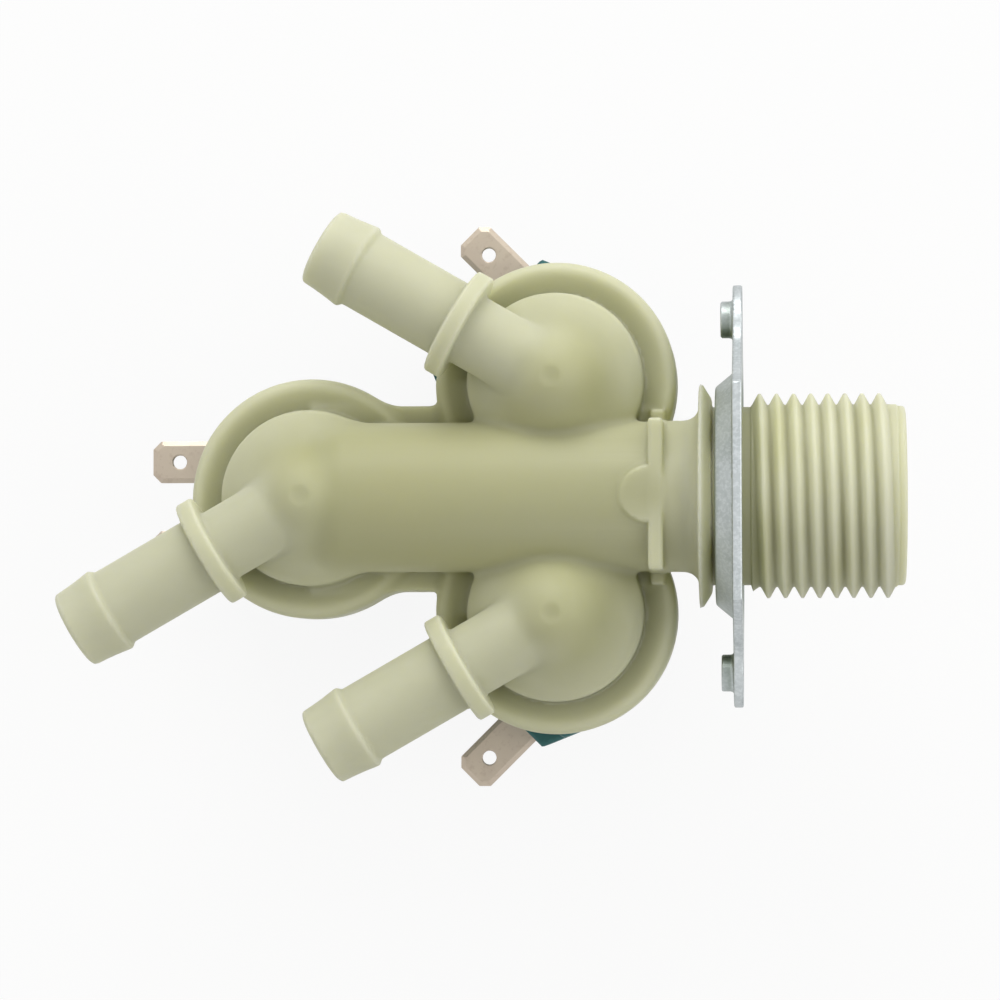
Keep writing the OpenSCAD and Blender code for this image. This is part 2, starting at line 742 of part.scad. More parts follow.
valve_body();
mounting_plate();
inlet_filter();
flow_washer();
coil_jacket(END);  // coil_end
coil_jacket(RIGHT);  // coil_right
coil_jacket(LEFT);  // coil_left
bobbin(END);  // bobbin_end
bobbin(RIGHT);  // bobbin_right
bobbin(LEFT);  // bobbin_left
winding(END);  // winding_end
winding(RIGHT);  // winding_right
winding(LEFT);  // winding_left
terminals(END);  // terminals_end
terminals(RIGHT);  // terminals_right
terminals(LEFT);  // terminals_left
yoke(END);  // yoke_end
yoke(RIGHT);  // yoke_right
yoke(LEFT);  // yoke_left
bonnet(END);  // bonnet_end
bonnet(RIGHT);  // bonnet_right
bonnet(LEFT);  // bonnet_left
plunger(END);  // plunger_end
plunger(RIGHT);  // plunger_right
plunger(LEFT);  // plunger_left
plunger_tip(END);  // plunger_tip_end
plunger_tip(RIGHT);  // plunger_tip_right
plunger_tip(LEFT);  // plunger_tip_left
plunger_spring(END);  // plunger_spring_end
plunger_spring(RIGHT);  // plunger_spring_right
plunger_spring(LEFT);  // plunger_spring_left
diaphragm(END);  // diaphragm_end
diaphragm(RIGHT);  // diaphragm_right
diaphragm(LEFT);  // diaphragm_left
diaphragm_insert(END);  // diaphragm_insert_end
diaphragm_insert(RIGHT);  // diaphragm_insert_right
diaphragm_insert(LEFT);  // diaphragm_insert_left
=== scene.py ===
# Water inlet valve: the looks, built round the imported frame
import json
import math

import bpy
import numpy as np
from mathutils import Matrix, Vector


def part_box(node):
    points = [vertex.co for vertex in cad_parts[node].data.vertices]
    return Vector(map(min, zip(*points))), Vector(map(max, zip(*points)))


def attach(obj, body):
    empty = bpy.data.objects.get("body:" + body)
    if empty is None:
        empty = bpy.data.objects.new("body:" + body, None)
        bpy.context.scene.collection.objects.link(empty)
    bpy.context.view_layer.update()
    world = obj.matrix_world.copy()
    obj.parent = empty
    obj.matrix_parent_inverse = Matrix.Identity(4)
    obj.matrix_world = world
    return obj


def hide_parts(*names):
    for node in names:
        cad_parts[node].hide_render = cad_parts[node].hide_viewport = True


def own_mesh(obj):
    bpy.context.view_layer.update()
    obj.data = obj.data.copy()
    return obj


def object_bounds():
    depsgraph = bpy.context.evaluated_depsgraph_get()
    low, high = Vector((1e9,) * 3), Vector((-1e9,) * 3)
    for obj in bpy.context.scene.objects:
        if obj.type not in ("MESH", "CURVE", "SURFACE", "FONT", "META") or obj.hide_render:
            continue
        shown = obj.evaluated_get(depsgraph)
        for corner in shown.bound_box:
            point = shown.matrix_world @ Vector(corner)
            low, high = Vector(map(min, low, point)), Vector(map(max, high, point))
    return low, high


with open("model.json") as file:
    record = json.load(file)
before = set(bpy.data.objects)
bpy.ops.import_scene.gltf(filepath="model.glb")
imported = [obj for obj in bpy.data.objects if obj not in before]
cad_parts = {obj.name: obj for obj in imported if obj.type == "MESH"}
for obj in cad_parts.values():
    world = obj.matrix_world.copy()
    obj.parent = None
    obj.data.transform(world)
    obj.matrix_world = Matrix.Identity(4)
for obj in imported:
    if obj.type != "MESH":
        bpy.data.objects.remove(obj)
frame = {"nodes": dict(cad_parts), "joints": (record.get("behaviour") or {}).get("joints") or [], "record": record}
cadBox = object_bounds()
print("frame loaded")

mm = 0.001  # all sizes below are in millimetres
sides = ["end", "right", "left"]


def boxOf(node):
    low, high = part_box(node)
    return np.array(low) / mm, np.array(high) / mm


def chamberAxis(side):
    low, high = boxOf("bobbin_" + side)
    return (low + high) / 2 * [1, 1, 0]


# Distance fields: each takes points in mm and gives mm, negative inside

def melt(a, b, r):
    # joins two forms with a soft fillet
    h = np.clip(0.5 + 0.5 * (b - a) / r, 0, 1)
    return b + (a - b) * h - r * h * (1 - h)


def carve(a, b, r):
    # keeps what is inside both, with a soft edge
    return -melt(-a, -b, r)


def roundCorner(dx, dy, soft):
    dx, dy = dx + soft, dy + soft
    return np.minimum(np.maximum(dx, dy), 0) + np.hypot(np.maximum(dx, 0), np.maximum(dy, 0)) - soft


def cylindrical(p, start, along):
    q = p - np.array(start)
    x = q @ np.array(along)
    r = np.sqrt(np.maximum((q * q).sum(1) - x * x, 0))
    return x, r


def rod(p, start, along, length, radius, soft=0.3):
    x, r = cylindrical(p, start, along)
    return roundCorner(np.abs(x - length / 2) - length / 2, r - radius, soft)


def block(p, low, high, soft):
    low, high = np.array(low), np.array(high)
    d = np.abs(p - (low + high) / 2) - (high - low) / 2 + soft
    return np.minimum(d.max(1), 0) + np.sqrt((np.maximum(d, 0) ** 2).sum(1)) - soft


def ball(p, centre, radius):
    return np.sqrt(((p - np.array(centre)) ** 2).sum(1)) - radius


overMiddle = -1  # outlines are drawn on one side, to a little past the middle line


def plan(x, y, corners):
    # signed distance to a closed outline
    corners = np.array(corners, float)
    best = np.full(len(x), np.inf)
    inside = np.zeros(len(x), bool)
    for (ax, ay), (bx, by) in zip(corners, np.roll(corners, -1, 0)):
        ex, ey = bx - ax, by - ay
        wx, wy = x - ax, y - ay
        t = np.clip((wx * ex + wy * ey) / (ex * ex + ey * ey), 0, 1)
        best = np.minimum(best, (wx - ex * t) ** 2 + (wy - ey * t) ** 2)
        if ey:
            crosses = ((ay <= y) != (by <= y)) & (x < ax + (y - ay) * ex / ey)
            inside ^= crosses
    return np.where(inside, -1, 1) * np.sqrt(best)


def arcPoints(cx, cy, r, start, stop, steps):
    turns = np.radians(np.linspace(start, stop, steps + 1))
    return [(cx + r * math.cos(a), cy + r * math.sin(a)) for a in turns]


def slope(field, p, reach=0.02, here=None):
    # which way the field rises; with the values at p it looks ahead only
    grad = np.empty_like(p)
    for axis in range(3):
        step = np.zeros(3)
        step[axis] = reach
        if here is None:
            grad[:, axis] = (field(p + step) - field(p - step)) / (2 * reach)
        else:
            grad[:, axis] = (field(p + step) - here) / reach
    return grad


def normalsOf(field, p):
    grad = slope(field, p)
    return grad / np.linalg.norm(grad, axis=1)[:, None]


def lattice(field, low, count, step, span=3, atOnce=60000):
    # the field at every node of a grid; blocks far from the surface take their middle's value
    wide = -(-count // span)
    middles = np.stack(np.meshgrid(*[np.arange(n) for n in wide], indexing="ij"), -1).reshape(-1, 3)
    rough = field(low + (middles * span + (span - 1) / 2) * step)
    values = rough.reshape(wide).astype(np.float32)
    for axis in range(3):
        values = values.repeat(span, axis)
    values = values[tuple(slice(0, n) for n in count)].copy()
    nearby = middles[np.abs(rough) < span * step]
    inner = np.stack(np.meshgrid(*[np.arange(span)] * 3, indexing="ij"), -1).reshape(-1, 3)
    nodes = (nearby[:, None] * span + inner).reshape(-1, 3)
    nodes = nodes[(nodes < count).all(1)]
    for start in range(0, len(nodes), atOnce):
        some = nodes[start:start + atOnce]
        values[tuple(some.T)] = field(low + some * step)
    return values


def addObject(name, data):
    obj = bpy.data.objects.new(name, data)
    bpy.context.scene.collection.objects.link(obj)
    return obj


def smooth(mesh, normals=None):
    mesh.polygons.foreach_set("use_smooth", np.ones(len(mesh.polygons), bool))
    if normals is not None:
        mesh.normals_split_custom_set_from_vertices(normals.tolist())


def addMesh(name, points, faces, normals=None):
    mesh = bpy.data.meshes.new(name)
    mesh.from_pydata((points * mm).tolist(), [], faces.tolist())
    mesh.update()
    smooth(mesh, normals)
    return addObject(name, mesh)


# Light that comes through: how clear the walls behind each point are

shineLook = {
    "reach": 26.0, "step": 0.9, "fade": 3.6, "patch": 1.8, "soften": 60,
    "rings": (-0.85, -0.5, -0.15, 0.15, 0.5, 0.85), "around": 10, "grazing": 0.1, "least": 0.01,
}


def soften(mesh, values, rounds):
    # spreads values along the edges
    ends = np.empty(len(mesh.edges) * 2, np.int32)
    mesh.edges.foreach_get("vertices", ends)
    a, b = ends.reshape(-1, 2).T
    n = len(values)
    count = np.maximum(np.bincount(a, minlength=n) + np.bincount(b, minlength=n), 1)
    for _ in range(rounds):
        near = np.bincount(a, values[b], n) + np.bincount(b, values[a], n)
        values = (values + near / count) / 2
    return values


def shine(obj, points, normals, isNylon, isDark):
    # keeps two shares on each point: what its walls let through, and what then gets past the dark parts
    look = shineLook
    patch = np.hstack([np.floor(points / look["patch"]), np.round(normals)]).astype(int)
    chosen, belongs = np.unique(patch, axis=0, return_index=True, return_inverse=True)[1:]
    spots, out = points[chosen], normals[chosen]
    clear, past, weight = np.zeros((3, len(spots)))
    for z in look["rings"]:
        for k in range(look["around"]):
            turn = 2 * math.pi * (k + z) / look["around"]
            flat = math.sqrt(1 - z * z)
            along = np.array([flat * math.cos(turn), flat * math.sin(turn), z])
            facing = -(out @ along)
            rows = np.flatnonzero(facing > look["grazing"])
            wall, free = np.zeros(len(rows)), np.ones(len(rows))
            for far in np.arange(look["step"] / 2, look["reach"], look["step"]):
                p = spots[rows] + along * far
                wall += isNylon(p) * look["step"]
                free[isDark(p)] = 0
            passed = facing[rows] * np.exp(-wall / look["fade"])
            clear[rows] += passed
            past[rows] += passed * free
            weight[rows] += facing[rows]
    for name, values in (("clear", clear), ("shine", past)):
        share = (values / np.maximum(weight, look["least"]))[belongs.ravel()]
        share = soften(obj.data, share, look["soften"]).astype(np.float32)
        obj.data.attributes.new(name, "FLOAT", "POINT").data.foreach_set("value", share)
    print(obj.name, "light through walked", len(spots), "spots")


def thinOut(obj, field, most):
    # takes out the points that flat places can do without, down to a number of triangles
    obj.modifiers.new("thinOut", "DECIMATE").ratio = min(1, most / (2 * len(obj.data.polygons)))
    shaped = obj.evaluated_get(bpy.context.evaluated_depsgraph_get())
    obj.data = bpy.data.meshes.new_from_object(shaped)
    obj.modifiers.clear()
    points = np.array([v.co for v in obj.data.vertices]) / mm
    normals = normalsOf(field, points)
    smooth(obj.data, normals)
    return points, normals


def skin(name, field, form, isDark=None, slides=2, flattest=0.05):
    # lays one vertex in every cell that the surface crosses, then slides it onto the surface
    low, high, step = np.array(form["low"], float), np.array(form["high"], float), form["step"]
    count = np.ceil((high - low) / step).astype(int) + 1
    values = lattice(field, low, count, step)
    solid = values < 0
    cells = count - 1
    corners = [(i, j, k) for i in (0, 1) for j in (0, 1) for k in (0, 1)]

    def at(grid, c):
        return grid[c[0]:c[0] + cells[0], c[1]:c[1] + cells[1], c[2]:c[2] + cells[2]]

    filled = sum(at(solid, c).astype(np.int8) for c in corners)
    active = (filled > 0) & (filled < len(corners))
    index = np.full(cells, -1, np.int64)
    where = np.argwhere(active)
    index[active] = np.arange(len(where))
    total = np.zeros((len(where), 3))
    hits = np.zeros(len(where))
    for a in corners:
        for axis in range(3):
            if a[axis]:
                continue
            b = tuple(c + (n == axis) for n, c in enumerate(a))
            va, vb = at(values, a)[active], at(values, b)[active]
            cut = (va < 0) != (vb < 0)
            t = np.where(cut, va / np.where(cut, va - vb, 1), 0)
            total += np.where(cut[:, None], np.array(a, float), 0)
            total[:, axis] += np.where(cut, t, 0)
            hits += cut
    points = low + (where + total / hits[:, None]) * step
    for _ in range(slides):
        here = field(points)
        grad = slope(field, points, here=here)
        push = here[:, None] * grad / np.maximum((grad ** 2).sum(1), flattest)[:, None]
        points -= np.clip(push, -step / 2, step / 2)
    faces = []
    for axis in range(3):
        b, c = (axis + 1) % 3, (axis + 2) % 3
        first = [slice(0, n) for n in count]
        second = list(first)
        first[axis], second[axis] = slice(0, cells[axis]), slice(1, None)
        inner = [slice(1, n) for n in cells]
        inner[axis] = slice(None)
        lo, hi = solid[tuple(first)][tuple(inner)], solid[tuple(second)][tuple(inner)]
        for flip in (False, True):
            edge = np.argwhere((lo & ~hi) if flip else (~lo & hi))
            edge[:, b] += 1
            edge[:, c] += 1
            ring = []
            for db, dc in ((-1, -1), (0, -1), (0, 0), (-1, 0)):
                cell = edge.copy()
                cell[:, b] += db
                cell[:, c] += dc
                ring.append(index[cell[:, 0], cell[:, 1], cell[:, 2]])
            faces.append(np.column_stack(ring if flip else ring[::-1]))
    normals = normalsOf(field, points)
    obj = addMesh(name, points, np.vstack(faces), normals)
    if "most" in form:
        points, normals = thinOut(obj, field, form["most"])
    if isDark:
        top = count - 1

        def isNylon(p):
            i, j, k = np.clip(((p - low) / step + 0.5).astype(int), 0, top).T
            return solid[i, j, k]

        shine(obj, points, normals, isNylon, isDark)
    print(name, sum(len(p.vertices) - 2 for p in obj.data.polygons), "triangles")
    return obj


def placed(obj, name, place):
    # a copy of a finished mesh, set in its own place
    mesh = obj.data.copy()
    mesh.transform(place)
    return addObject(name, mesh)


def swept(name, rows, sharpOver):
    # joins rings of points, all of one length, into a closed skin
    rows = np.array(rows)
    n, m = rows.shape[:2]
    faces = []
    for i in range(n):
        a, b = i * m, (i + 1) % n * m
        j = np.arange(m)
        k = (j + 1) % m
        faces.append(np.column_stack([a + j, a + k, b + k, b + j]))
    obj = addMesh(name, rows.reshape(-1, 3), np.vstack(faces))
    obj.data.set_sharp_from_angle(angle=math.radians(sharpOver))
    return obj


def dress(obj, body, slot, *nodes):
    obj.data.materials.append(finishes[slot])
    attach(obj, body)
    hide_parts(*nodes)


# Materials

class Wire:
    # a socket that takes part in sums
    def __init__(self, paint, socket):
        self.paint, self.socket = paint, socket

    def sum(self, operation, other, swap=False):
        pair = [other, self] if swap else [self, other]
        return self.paint.node("ShaderNodeMath", {"operation": operation}, {0: pair[0], 1: pair[1]})

    def __add__(self, other):
        return self.sum("ADD", other)

    def __radd__(self, other):
        return self.sum("ADD", other, True)

    def __sub__(self, other):
        return self.sum("SUBTRACT", other)

    def __rsub__(self, other):
        return self.sum("SUBTRACT", other, True)

    def __mul__(self, other):
        return self.sum("MULTIPLY", other)

    def __rmul__(self, other):
        return self.sum("MULTIPLY", other, True)

    def __or__(self, other):
        return self.sum("MAXIMUM", other)

    def __ror__(self, other):
        return self.sum("MAXIMUM", other, True)


class Paint:
    # the nodes of one material, or of the world
    def __init__(self, name, shelf=bpy.data.materials):
        self.finish = shelf.new(name)
        self.finish.use_nodes = True
        self.tree = self.finish.node_tree
        self.shader = next(n for n in self.tree.nodes if n.type in ("BSDF_PRINCIPLED", "BACKGROUND"))

    def node(self, kind, settings=None, values=None, out=0):
        made = self.tree.nodes.new(kind)
        for key, value in (settings or {}).items():
            if key == "stops":
                ramp = made.color_ramp
                while len(ramp.elements) < len(value):
                    ramp.elements.new(1)
                for stop, (place, colour) in zip(ramp.elements, value):
                    stop.position, stop.color = place, colour
            else:
                setattr(made, key, value)
        for key, value in (values or {}).items():
            self.plug(made.inputs[key], value)
        return Wire(self, made.outputs[out])

    def plug(self, socket, value):
        if isinstance(value, Wire):
            self.tree.links.new(value.socket, socket)
        else:
            socket.default_value = value

    def shade(self, **values):
        for key, value in values.items():
            self.plug(self.shader.inputs[key.replace("_", " ")], value)
        return self.finish

    def mix(self, factor, a, b):
        return self.node("ShaderNodeMix", {"data_type": "RGBA"}, {0: factor, 6: a, 7: b}, out=2)

    def backdropRay(self):
        # what the camera, a gloss or a clear wall sees straight on
        path = self.node("ShaderNodeLightPath").socket.node.outputs
        rays = ("Camera", "Glossy", "Transmission")
        camera, glossy, through = [Wire(self, path["Is %s Ray" % ray]) for ray in rays]
        return camera | glossy | through

    def place(self):
        return self.node("ShaderNodeTexCoord", out=3)

    def noise(self, scale, detail=3, rough=0.55, vector=None):
        values = {"Vector": vector or self.place(), "Scale": scale, "Detail": detail, "Roughness": rough}
        return self.node("ShaderNodeTexNoise", None, values)

    def ramp(self, factor, stops):
        grey = [(at, (v, v, v, 1)) for at, v in stops]
        return self.node("ShaderNodeValToRGB", {"stops": grey}, {0: factor})

    def rise(self, factor, start, stop):
        return self.ramp(factor, [(start, 0), (stop, 1)])

    def creviceShade(self, reach, stops, samples=6):
        # how closed in a point is, by what stands within reach of it; the result drives painted shade
        values = {"Distance": reach * mm}
        space = self.node("ShaderNodeAmbientOcclusion", {"samples": samples}, values, out=1)
        return self.ramp(space, stops)

    def bump(self, height, strength, depth):
        values = {"Height": height, "Strength": strength, "Distance": depth * mm}
        return self.node("ShaderNodeBump", None, values)


def rgb(r, g, b):
    # a colour as read off a screen, 0 to 255
    def linear(v):
        v /= 255
        return v / 12.92 if v <= 0.04045 else ((v + 0.055) / 1.055) ** 2.4
    return (linear(r), linear(g), linear(b), 1)


# noises are given as scale, detail and roughness; bumps as strength and depth in mm

# the pale and through-lit colours are painted light shining through the walls; the crevice colour is painted shade
nylonLook = {
    "pale": rgb(208, 208, 182), "litThrough": rgb(203, 203, 169), "thick": rgb(178, 178, 133),
    "warm": rgb(188, 183, 127), "creviceShade": rgb(148, 150, 84),
    "clear": (0.09, 0.2), "shine": (0.06, 0.34), "reach": 7.0, "closed": [(0.1, 1), (0.6, 0)], "shade": 0.42,
    "cloud": (60, 4), "cloudRise": (0.35, 0.7), "clouding": 0.25, "grain": (900, 2), "flow": (130, 2),
    "grainShare": 0.3, "uneven": 0.12, "bump": (0.12, 0.12),
    "roughness": 0.56, "gloss": 0.48, "glow": 1.0, "depth": 3.6, "spread": (1, 0.98, 0.75),
}


def makeNylon():
    look = nylonLook
    paint = Paint("naturalNylon")
    cloud = paint.rise(paint.noise(*look["cloud"]), *look["cloudRise"])
    tone = paint.mix(cloud * look["clouding"], look["thick"], look["warm"])
    # painted light: where the walls are thin and nothing dark stands behind, the colour is painted paler, standing
    # in for light shining through the nylon
    for share, colour in (("clear", "litThrough"), ("shine", "pale")):
        stored = paint.node("ShaderNodeAttribute", {"attribute_name": share}, out=2)
        tone = paint.mix(paint.rise(stored, *look[share]), tone, look[colour])
    # painted shade: points closed in by nearby walls are mixed towards a dark olive, standing in for shade in
    # grooves and junctions
    closed = paint.creviceShade(look["reach"], look["closed"])
    tone = paint.mix(closed * look["shade"], tone, look["creviceShade"])
    grain = paint.noise(*look["grain"])
    flow = paint.noise(*look["flow"])
    return paint.shade(
        Base_Color=tone, Roughness=look["roughness"] + (flow - 0.5) * look["uneven"],
        Normal=paint.bump(grain * look["grainShare"] + flow, *look["bump"]),
        Specular_IOR_Level=look["gloss"], Subsurface_Weight=look["glow"], Subsurface_Radius=look["spread"],
        Subsurface_Scale=look["depth"] * mm)


zincLook = {
    "light": rgb(198, 204, 205), "dull": rgb(160, 167, 168), "hollowShade": rgb(106, 121, 100),
    "fleck": rgb(232, 236, 238), "metal": 0.85, "roughness": 0.38,
    "spangle": (240, 5, 0.65), "spangleRise": (0.3, 0.72), "spangleTone": 0.6, "spangleRough": 0.14,
    "drawnOut": (1, 1, 14), "line": (500, 2, 0.5), "lineRough": 0.1, "spangleShare": 0.4,
    "flecks": (2200, 2, 0.6), "fleckRise": (0.45, 0.62), "fleckTone": 0.3,
    "reach": 14, "closed": [(0.3, 0.9), (0.94, 0)], "bump": (0.15, 0.06),
}


def makeZinc(name, look):
    paint = Paint(name)
    spangle = paint.rise(paint.noise(*look["spangle"]), *look["spangleRise"])
    drawn = paint.node("ShaderNodeMapping", None, {"Vector": paint.place(), "Scale": look["drawnOut"]})
    line = paint.noise(*look["line"], drawn)
    rough = look["roughness"] + spangle * look["spangleRough"] + (line - 0.5) * look["lineRough"]
    closed = paint.creviceShade(look["reach"], look["closed"])
    tone = paint.mix(spangle * look["spangleTone"], look["light"], look["dull"])
    fleck = paint.rise(paint.noise(*look["flecks"]), *look["fleckRise"])
    tone = paint.mix(fleck * look["fleckTone"], tone, look["fleck"])
    # painted shade: closed-in hollows are darkened towards a greenish grey
    tone = paint.mix(closed, tone, look["hollowShade"])
    return paint.shade(
        Base_Color=tone, Metallic=look["metal"], Roughness=rough,
        Normal=paint.bump(line + spangle * look["spangleShare"], *look["bump"]))


plasticLook = {"cloud": (90, 3), "uneven": 0.15, "gloss": 0.45, "bump": (0.25, 0.1)}


def makePlastic(name, pale, deep, roughness, grainSize=1100):
    look = plasticLook
    paint = Paint(name)
    cloud = paint.noise(*look["cloud"])
    grain = paint.noise(grainSize)
    return paint.shade(
        Base_Color=paint.mix(cloud, deep, pale), Roughness=roughness + (cloud - 0.5) * look["uneven"],
        Normal=paint.bump(grain, *look["bump"]), Specular_IOR_Level=look["gloss"])


tinnedLook = {
    "pale": rgb(206, 194, 174), "pink": rgb(188, 173, 160), "fleck": rgb(150, 128, 108),
    "cloud": (160, 3), "flecks": (1500, 2, 0.6), "fleckRise": (0.55, 0.68), "fleckTone": 0.18,
    "metal": 0.7, "roughness": 0.38, "uneven": 0.15, "bump": (0.1, 0.04),
}


def makeTinned():
    look = tinnedLook
    paint = Paint("tinnedBrass")
    fleck = paint.rise(paint.noise(*look["flecks"]), *look["fleckRise"])
    cloud = paint.noise(*look["cloud"])
    base = paint.mix(cloud, look["pale"], look["pink"])
    return paint.shade(
        Base_Color=paint.mix(fleck * look["fleckTone"], base, look["fleck"]), Metallic=look["metal"],
        Roughness=look["roughness"] + cloud * look["uneven"], Normal=paint.bump(fleck, *look["bump"]))


metalLook = {"cloud": (300, 4), "uneven": 0.15, "metal": 0.95, "bump": (0.1, 0.05)}


def makeMetal(name, light, dark, roughness):
    look = metalLook
    paint = Paint(name)
    cloud = paint.noise(*look["cloud"])
    return paint.shade(
        Base_Color=paint.mix(cloud, light, dark), Metallic=look["metal"],
        Roughness=roughness + cloud * look["uneven"], Normal=paint.bump(cloud, *look["bump"]))


finishes = {
    "nylon": makeNylon(),
    "zinc_plate": makeZinc("zincPlate", zincLook),
    "frame_steel": makeZinc("frameSteel", {**zincLook, "roughness": 0.42}),
    "coil_plastic": makePlastic("tealJacket", rgb(46, 108, 106), rgb(34, 88, 88), 0.5),
    "bonnet_plastic": makePlastic("creamBonnet", rgb(226, 222, 200), rgb(212, 207, 182), 0.5),
    "bobbin_plastic": makePlastic("creamBobbin", rgb(222, 216, 196), rgb(205, 198, 176), 0.5),
    "filter_plastic": makePlastic("strainerPlastic", rgb(228, 226, 214), rgb(212, 208, 194), 0.45),
    "insert_plastic": makePlastic("insertPlastic", rgb(232, 232, 226), rgb(216, 215, 206), 0.4),
    "rubber": makePlastic("blackRubber", rgb(42, 42, 44), rgb(28, 28, 30), 0.75, 700),
    "tinned_tab": makeTinned(),
    "copper_wire": makeMetal("copperWire", rgb(196, 120, 74), rgb(160, 88, 50), 0.35),
    "plunger_steel": makeMetal("plungerSteel", rgb(186, 186, 182), rgb(150, 150, 148), 0.3),
    "spring_steel": makeMetal("springSteel", rgb(200, 202, 204), rgb(160, 162, 166), 0.25),
}
print("materials made")

for row in frame["record"]["subparts"]:
    node = frame["nodes"][row["node"]]
    node.data.materials.clear()
    node.data.materials.append(finishes[row["material_slot"]])


# Nylon body

bodyForm = {
    "rimR": 15.8, "rimRound": 1.6, "rimTop": -2.0, "rimHalf": 12, "valleyR": 12.1, "valleyZ": -4.0,
    "skirt": -11.5, "roofR": 11.5, "roofBall": 14.0, "roofTop": 7.0,
    "outletZ": 5.0, "elbowR": 6.0, "stemR": 4.8, "tailR": 5.2, "tailLen": 34.87, "tailPast": 7,
    "tailShort": 7.3, "boreR": 3.6, "ridgeR": 5.85, "barbLen": 5.9, "tipR": 4.9,
    "collarR": 7.3, "collarAt": 12.9, "collarT": 2.3,
    "manifoldR": 9.75, "manifoldEnd": -56.6, "manifoldRound": 5.0, "intoRib": 0.5,
    "plainFrom": -40, "plainLen": 30,
    "ribX": -12.1, "ribT": 1.9, "ribTop": 9.98, "footHalf": 11.5, "footTop": -1.2, "footFront": -11,
    "padR": 3.7, "padUnder": 0.05, "padFront": 0.5, "bottom": -16, "ledgeZ": -3.4,
    "endEdge": -56.8, "endFront": -30, "ledgeHalf": 12.2,
    "pairEdge": -39.7, "pairFront": -24.5, "pairHalf": 15.2,
    "flangeR": 14.6, "flangeBack": -5.65, "flangeCrest": -5.25, "flangeFace": -4.0, "faceR": 12.6,
    "neckR": 11.4, "neckStep": 0.1, "lugR": 13.85, "lugX": -2.3, "lugEnd": -0.9, "lugHalf": 4.5,
    "gateUp": 8.0, "gateR": 8.25,
    "cavityR": 10.0, "cavityBall": 12.5, "seatR": 5.2, "seatBoreR": 4.0, "pocketR": 13.6, "pocketZ": -8.2,
    "inletBoreR": 9.0, "inletFrom": -8, "inletLen": 20, "strainerFrom": -11,
    "manifoldBoreR": 7.0, "galleryLen": 50,
    "low": (-93, -39.5, -14.9), "high": (-0.3, 39.5, 14.9), "step": 0.43, "most": 185000,
    "turn": {"end": 210, "right": 150, "left": 210},
    "soft": {  # the radii of its fillets and edges
        "bank": 1.6, "rim": 1.2, "roofEdge": 0.5, "elbow": 3.2, "roof": 0.35,
        "tube": 0.3, "collar": 0.35, "collarFoot": 0.6, "barb": 0.7, "barbFoot": 0.5, "outlet": 0.7,
        "mouth": 0.5, "mouthEdge": 0.35, "flange": 0.2, "lug": 0.3, "neck": 2.4, "neckFoot": 0.4,
        "ledge": 0.35, "base": 0.6, "chamber": 1.3, "rib": 0.4, "foot": 0.25, "ribFoot": 0.5,
        "pad": 0.3, "padFace": 0.1, "gate": 0.1, "hollow": 0.1,
    },
}


def chamberField(p, form, soft, centre):
    q = p - centre
    r, z = np.hypot(q[:, 0], q[:, 1]), q[:, 2]
    rim = roundCorner(r - form["rimR"], np.abs(z + form["rimHalf"]) - form["rimHalf"] - form["rimTop"],
                      form["rimRound"])
    rise = form["rimTop"] - form["valleyZ"]
    run = form["rimR"] - form["rimRound"] - form["valleyR"]
    bank = ((z - form["valleyZ"]) * run - (r - form["valleyR"]) * rise) / math.hypot(rise, run)
    rim = carve(rim, melt(bank, z - form["valleyZ"], soft["bank"]), soft["rim"])
    dome = ball(q, (0, 0, form["roofTop"] - form["roofBall"]), form["roofBall"])
    dome = carve(dome, r - form["roofR"], soft["roofEdge"])
    roof = melt(dome, ball(q, (0, 0, form["outletZ"]), form["elbowR"]), soft["elbow"])
    return melt(rim, roof, soft["roof"])


def outletField(p, form, soft, centre, turn):
    along = (math.cos(math.radians(turn)), math.sin(math.radians(turn)), 0)
    start = centre + np.array([0, 0, form["outletZ"]])
    x, r = cylindrical(p, start, along)
    stem = np.abs(x - form["collarAt"] / 2) - form["collarAt"] / 2
    stem = roundCorner(stem, r - form["stemR"], soft["tube"])
    tail = np.abs(x - form["tailLen"] / 2 - form["tailPast"]) - form["tailLen"] / 2 + form["tailShort"]
    tail = roundCorner(tail, r - form["tailR"], soft["tube"])
    collarMid = form["collarAt"] + form["collarT"] / 2
    collar = roundCorner(np.abs(x - collarMid) - form["collarT"] / 2, r - form["collarR"], soft["collar"])
    ridgeX = form["tailLen"] - form["barbLen"]
    lean = (form["ridgeR"] - form["tipR"]) / form["barbLen"]
    taper = r - form["ridgeR"] + lean * (x - ridgeX)
    barb = carve(taper, np.abs(x - ridgeX - form["barbLen"] / 2) - form["barbLen"] / 2, soft["barb"])
    tube = melt(np.minimum(stem, tail), collar, soft["collarFoot"])
    return melt(tube, barb, soft["barbFoot"]), x, r


def hollowField(p, form, centre):
    # the room under the roof round the seat, and the diaphragm's pocket
    q = p - centre
    r, z = np.hypot(q[:, 0], q[:, 1]), q[:, 2]
    dome = ball(q, (0, 0, form["roofTop"] - form["roofBall"]), form["cavityBall"])
    room = np.maximum(np.maximum(dome, r - form["cavityR"]), form["seatR"] - r)
    pocket = np.maximum(r - form["pocketR"], z - form["pocketZ"])
    seatBore = np.maximum(r - form["seatBoreR"], z - form["outletZ"])
    return np.minimum(np.minimum(room, pocket), seatBore)


